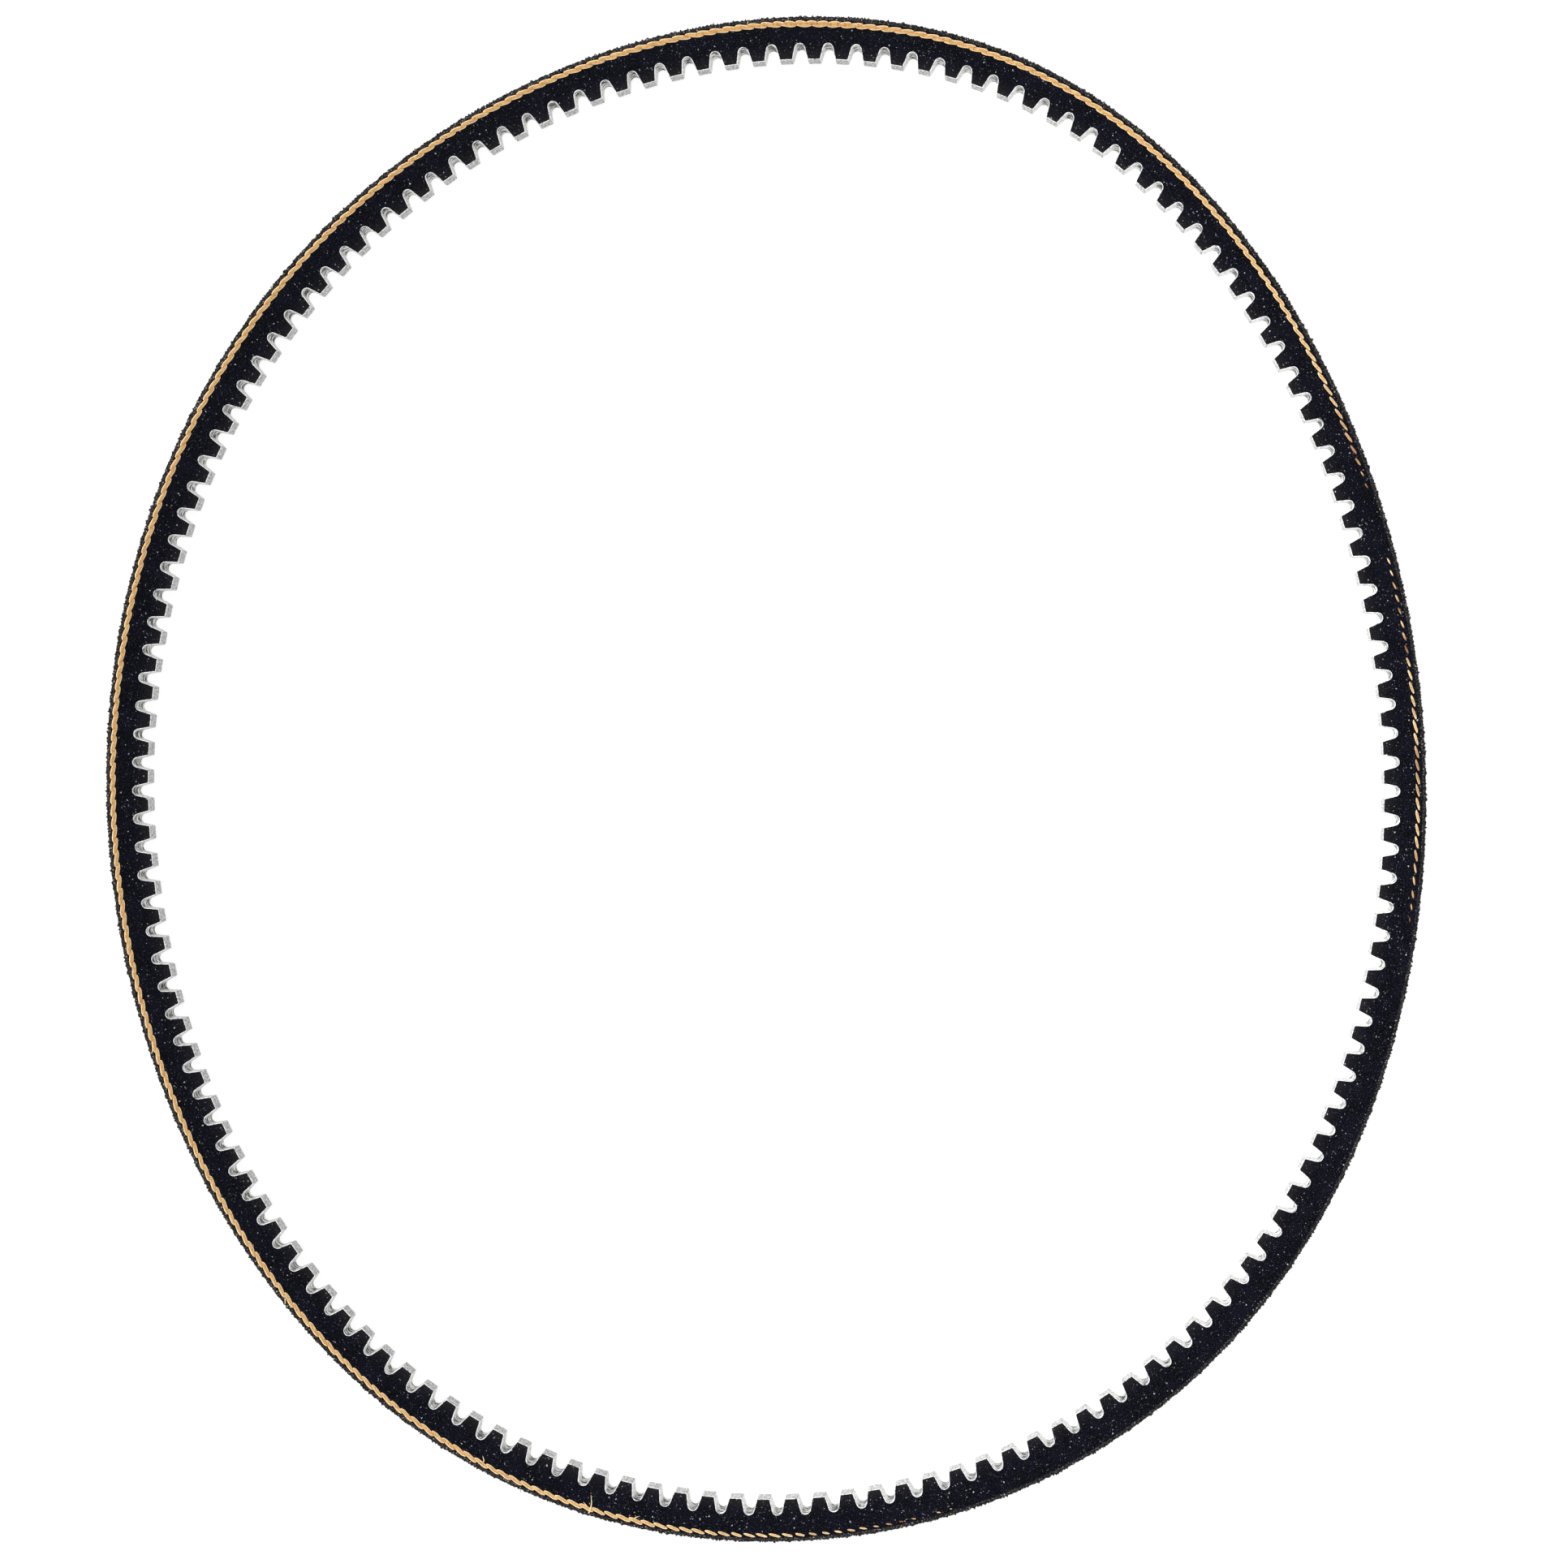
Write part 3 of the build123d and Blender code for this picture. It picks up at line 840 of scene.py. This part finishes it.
DIRT_CONTRAST, DIRT_LOSS = 1.7, 0.35
DIRTY_COVER = (0.48, 0.10)  # the cover where dirt starts, and how much more makes it full


def ply_centre(along, number, spread_across):
    """Where the middle of a ply is in the cord's section, across and square to the flank."""
    twist = 2 * pi * (along / LAY + number / PLIES)[:, None]
    return -spread_across * np.cos(twist), PLY_SPREAD * np.sin(twist)


def half_chord(rise, radius, radius_across, level):
    """Half the width of a ply where it is cut at a level."""
    return radius_across * np.sqrt(np.clip(1 - ((level - rise) / radius) ** 2, 0, 1))


def cut_ply(along, turn, number, sides):
    """Rings of one twisted ply, cut off where it stands out of the belt's flanks.

    The section is worked out along the flank ("across") and square to it ("rise"), from the cord's axis.
    """
    axis_height = cord_axis_height(along, turn)[:, None]
    side = np.where(axis_height >= 0, 1.0, -1.0)
    cut_level = (half_width(CORD_DEPTH) - side * axis_height) * cos(FLANK_LEAN)
    flattening = fade(FLAT_WITHIN - np.abs(cut_level), 0, FLAT_OVER) * PLY_FLATTENING
    unevenness = PLY_UNEVENNESS * (read_noise(PLY_NOISE, along + number * PLY_NOISE_SHIFT)[:, None] - 0.5)
    radius = PLY_RADIUS * (1 + unevenness)
    radius_across = radius + flattening
    spread_across = PLY_SPREAD - flattening * PLY_CLOSING

    middle, middle_rise = ply_centre(along, number, spread_across)
    angle = np.linspace(0, 2 * pi, sides, endpoint=False)[None, :]
    across = middle + radius_across * np.cos(angle)
    rise = middle_rise + radius * np.sin(angle)
    half_cut = half_chord(middle_rise, radius, radius_across, cut_level)
    is_cut = rise > cut_level
    across = np.where(is_cut, middle + np.clip(across - middle, -half_cut, half_cut), across)
    sunk = (middle_rise - cut_level > radius) * SUNK

    # The cut face is a low dome. Where the faces of two plies overlap, the one that a point is further
    # inside of stands higher, and a crease runs between them.
    inside = half_cut - np.abs(across - middle)
    from_rim = np.where(is_cut, inside, UNCUT)
    rise = np.where(is_cut, cut_level + CUT_DOME * (1 - np.exp(-from_rim / DOME_EDGE)) - sunk, rise)
    from_crease = np.full_like(from_rim, FAR_FROM_CREASE)
    for other in range(number + 1, number + PLIES):
        other_middle, other_rise = ply_centre(along, other, spread_across)
        other_half = half_chord(other_rise, radius, radius_across, cut_level)
        from_crease = np.minimum(from_crease, inside - (other_half - np.abs(across - other_middle)))

    depth = CORD_DEPTH + across * cos(FLANK_LEAN) + rise * sin(FLANK_LEAN)
    height = axis_height + side * (rise * cos(FLANK_LEAN) - across * sin(FLANK_LEAN))
    rings = belt_points(along[:, None], depth, height)
    round_ply = (angle - 2 * pi * along[:, None] / LAY) * PLY_RADIUS
    return rings, round_ply, from_rim, from_crease


COVER_SAMPLES = 50          # places where a length's cover is tried
CUT_MARGIN = 0.05           # the cord has its fine mesh where it is this near to being cut


def cord_stations(length, turn):
    """Where one turn has its rings along a length of belt, and whether any of it is cut open there."""
    first, last = SEAMS[length] * PITCH, SEAMS[length + 1] * PITCH
    if turn == UPPER_TURNS[0]:
        last = min(last, UPPER_TURN_END)
    if turn == LOWER_TURNS[0]:
        first = max(first, LOWER_TURN_START - UPPER_TURN_END)
    if last - first < PITCH:
        return None, False
    nearest = np.min(np.abs(cord_cover(np.linspace(first, last, COVER_SAMPLES), turn)))
    is_cut = turn in UPPER_TURNS + LOWER_TURNS and nearest < CORD_RADIUS + CUT_MARGIN
    cells = FINE_CELLS if is_cut else PLAIN_CELLS
    return np.linspace(first, last, round((last - first) / PITCH * cells) + 1), is_cut


def cord_dirt(along, turn):
    """How soiled the cord is: in patches, and only where little of it shows."""
    little_shown = fade(np.abs(cord_cover(along, turn)), *DIRTY_COVER)
    return little_shown * np.clip(read_noise(DIRT_NOISE, along) * DIRT_CONTRAST - DIRT_LOSS, 0, 1)


# Filaments pulled out of the cord on the upper side: (root along, depth), (tip along, depth), bow, radius.
LOOSE_THREADS = (((416.3, 0.4), (415.6, 3.8), 0.35, 0.17),
                 ((392.8, 1.7), (392.0, 2.6), 0.15, 0.13),
                 ((415.6, 1.4), (414.6, 2.1), 0.20, 0.14),
                 ((425.5, 1.7), (426.4, 2.3), -0.20, 0.13),
                 ((340.5, 0.9), (341.4, 0.1), 0.15, 0.12),
                 ((283.0, 0.9), (284.1, 0.3), 0.15, 0.10),
                 ((10.2, 0.9), (10.0, 0.2), 0.10, 0.08))
THREAD_ROOT_RISE, THREAD_TIP_RISE, THREAD_BOW_RISE = 0.02, 0.12, 0.15   # how far they stand off the flank
THREAD_FROM_RIM = 0.05      # they have the colour of a cut ply's rim


def loose_threads(first, last):
    """Rings of the loose filaments whose roots lie between two places along the belt."""
    for root, tip, bow, radius in LOOSE_THREADS:
        if first <= root[0] < last:
            start = np.array([*root, half_width(root[1]) + THREAD_ROOT_RISE])
            end = np.array([*tip, half_width(tip[1]) + THREAD_TIP_RISE])
            yield fibre(start, end, np.array([bow, 0.0, THREAD_BOW_RISE]), radius, sides=6, steps=9)


def cord_turns(length):
    """Every turn of the cord on one length of belt, with the filaments that were pulled out of it."""
    cord = Bundle("from_rim", "from_crease", "soiled")
    for turn in range(CORD_TURNS):
        along, is_cut = cord_stations(length, turn)
        if along is None:
            continue
        sides = FINE_SIDES if is_cut else PLAIN_SIDES
        soiled = cord_dirt(along, turn)[:, None]
        for number in range(PLIES):
            rings, round_ply, from_rim, from_crease = cut_ply(along, turn, number, sides)
            uv = np.stack(np.broadcast_arrays(along[:, None], round_ply), axis=-1)
            cord.add(rings, uv, from_rim=from_rim, from_crease=from_crease, soiled=soiled)
    for rings in loose_threads(SEAMS[length] * PITCH, SEAMS[length + 1] * PITCH):
        cord.add(rings, rings[..., :2], from_rim=THREAD_FROM_RIM, from_crease=FAR_FROM_CREASE, soiled=0.0)
    piece = cord.make(f"twisted_cord_{length + 1}", CORD, 50)
    join_belt(piece, length, "tension_cord")


# ---------------------------------------- frayed fibre ends
FRAY_SEED = 600
ENDS_PER_MILLIMETRE = 2.6
SEAM_CLEARANCE = 0.8        # no end grows this near to a seam
DEEPEST_END = 0.55
SHALLOWEST_END = 0.05
END_CROWDING = 1.3          # above 1, most ends grow near the back's face
END_INSET = 0.22            # and all of them within this distance of the edge
SHORT_SHARE = 0.93
SHORT_END = (0.12, 0.42)
LONG_END = (0.45, 0.8)
END_RADIUS = (0.035, 0.085)
END_SAG = (-0.08, 0.08)
LEAN_OUT = (0.3, 1.0)       # how an end leans, as shares of its length
LEAN_ALONG = (-0.8, 0.8)
LEAN_ACROSS = (-0.4, 0.35)
DARKNESS = 3                # the higher, the fewer pale ends


def fibre_end(random, along, side):
    """Rings of one short fibre that stands out of a cut edge, and its shade."""
    depth = random.uniform(0.0, DEEPEST_END) ** END_CROWDING + SHALLOWEST_END
    is_short = random.random() < SHORT_SHARE
    size = random.uniform(*(SHORT_END if is_short else LONG_END))
    out = random.uniform(*LEAN_OUT)
    root = np.array([along, depth, side * (HALF_WIDTH - END_INSET * random.random())])
    lean = np.array([random.uniform(*LEAN_ALONG), -out, side * random.uniform(*LEAN_ACROSS)])
    sag = random.uniform(*END_SAG, 3)
    rings = fibre(root, root + size * lean, sag, random.uniform(*END_RADIUS))
    return rings, random.random() ** DARKNESS


def frayed_edges(length):
    """Short fibre ends that stand out of the two cut edges of the back fabric."""
    random = np.random.default_rng(FRAY_SEED + length)
    first, last = SEAMS[length] * PITCH, SEAMS[length + 1] * PITCH
    count = int((last - first) * ENDS_PER_MILLIMETRE)
    ends = Bundle("shade")
    for side in (1, -1):
        for along in random.uniform(first + SEAM_CLEARANCE, last - SEAM_CLEARANCE, count):
            rings, shade = fibre_end(random, along, side)
            ends.add(rings, shade=shade)
    piece = ends.make(f"frayed_edge_{length + 1}", FRAY, 80)
    join_belt(piece, length)


# ---------------------------------------- floor, light and camera
# Lengths are in metres here, apart from the camera's.
FLOOR_SIZE = 4.0            # half its side
FLOOR_CLEARANCE = 0.0006
FLOOR_COLOUR = (0.12, 0.12, 0.12, 1)
FLOOR_GLOW = 0.93           # keeps the floor white, with only a faint shadow
WHITE = (1, 1, 1, 1)
ROOM_LIGHT = 0.55           # strength of the room's light on the belt
ROOM_SEEN = 1.0             # and its brightness behind the belt, the same white as the floor


def plain_floor():
    """A white floor just under the belt."""
    level = CAD_BOX[0][2] - FLOOR_CLEARANCE
    corners = [(-1, -1), (1, -1), (1, 1), (-1, 1)]
    mesh = bpy.data.meshes.new("floor")
    mesh.from_pydata([(x * FLOOR_SIZE, y * FLOOR_SIZE, level) for x, y in corners], [], [(0, 1, 2, 3)])
    floor = bpy.data.objects.new("floor", mesh)
    bpy.context.collection.objects.link(floor)
    material, tree, shader = new_material("pale_floor")
    set_surface(tree, shader, FLOOR_COLOUR, 1.0, 0.0)
    shader.inputs["Emission Color"].default_value = WHITE
    shader.inputs["Emission Strength"].default_value = FLOOR_GLOW
    mesh.materials.append(material)


def soft_light(name, place, size, power, glint=False):
    """A square soft box that faces the middle of the loop. Only one with a glint shows in glossy surfaces."""
    lamp = bpy.data.lights.new(name, "AREA")
    lamp.size = size
    lamp.energy = power
    box = bpy.data.objects.new(name, lamp)
    box.location = place
    box.visible_glossy = glint
    box.rotation_euler = (-Vector(place)).to_track_quat("-Z", "Y").to_euler()
    bpy.context.collection.objects.link(box)


def studio():
    """A white room that lights the belt gently, with three soft boxes."""
    world = bpy.data.worlds.new("studio")
    bpy.context.scene.world = world
    world.use_nodes = True
    tree = world.node_tree
    room = tree.nodes["Background"].inputs
    room["Color"].default_value = WHITE
    seen = add_node(tree, "ShaderNodeLightPath").outputs["Is Camera Ray"]
    feed(tree, room["Strength"], math_node(tree, "MULTIPLY_ADD", seen, ROOM_SEEN - ROOM_LIGHT, ROOM_LIGHT))
    soft_light("key", (-1.15, 0.4, 0.65), 0.8, 23)
    soft_light("overhead", (0.0, 0.1, 1.3), 0.4, 6)
    soft_light("front", (0.0, -0.95, 1.0), 0.4, 2, glint=True)
    bpy.context.scene.view_settings.view_transform = "Standard"


# In millimetres. The camera stands almost straight above the loop, a little to the right of its middle.
CAMERA_TARGET = (4.92, -0.70, 0.0)
CAMERA_OFFSET = (47.4, 5.2, 700.0)
FRAME_WIDTH = 315.998       # across the picture, at the target
NEAREST_SEEN = 0.01         # in metres


def camera():
    """The camera, with the picture's upper side towards +Y."""
    data = bpy.data.cameras.new("camera")
    view = bpy.data.objects.new("camera", data)
    offset = Vector(CAMERA_OFFSET)
    backward = offset.normalized()
    sideways = Vector((0, 1, 0)).cross(backward).normalized()
    upward = backward.cross(sideways)
    turned = Matrix((sideways, upward, backward)).transposed().to_4x4()
    view.matrix_world = Matrix.Translation((Vector(CAMERA_TARGET) + offset) * MILLIMETRE) @ turned
    data.lens = offset.length / FRAME_WIDTH * data.sensor_width
    data.clip_start = NEAREST_SEEN
    bpy.context.collection.objects.link(view)
    bpy.context.scene.camera = view


# ---------------------------------------- the whole scene
for belt_length in range(LENGTHS):
    woven_back(belt_length)
    cord_bed(belt_length)
    cog_rubber(belt_length)
    cog_facing(belt_length)
    cord_turns(belt_length)
    frayed_edges(belt_length)

plain_floor()
studio()
camera()
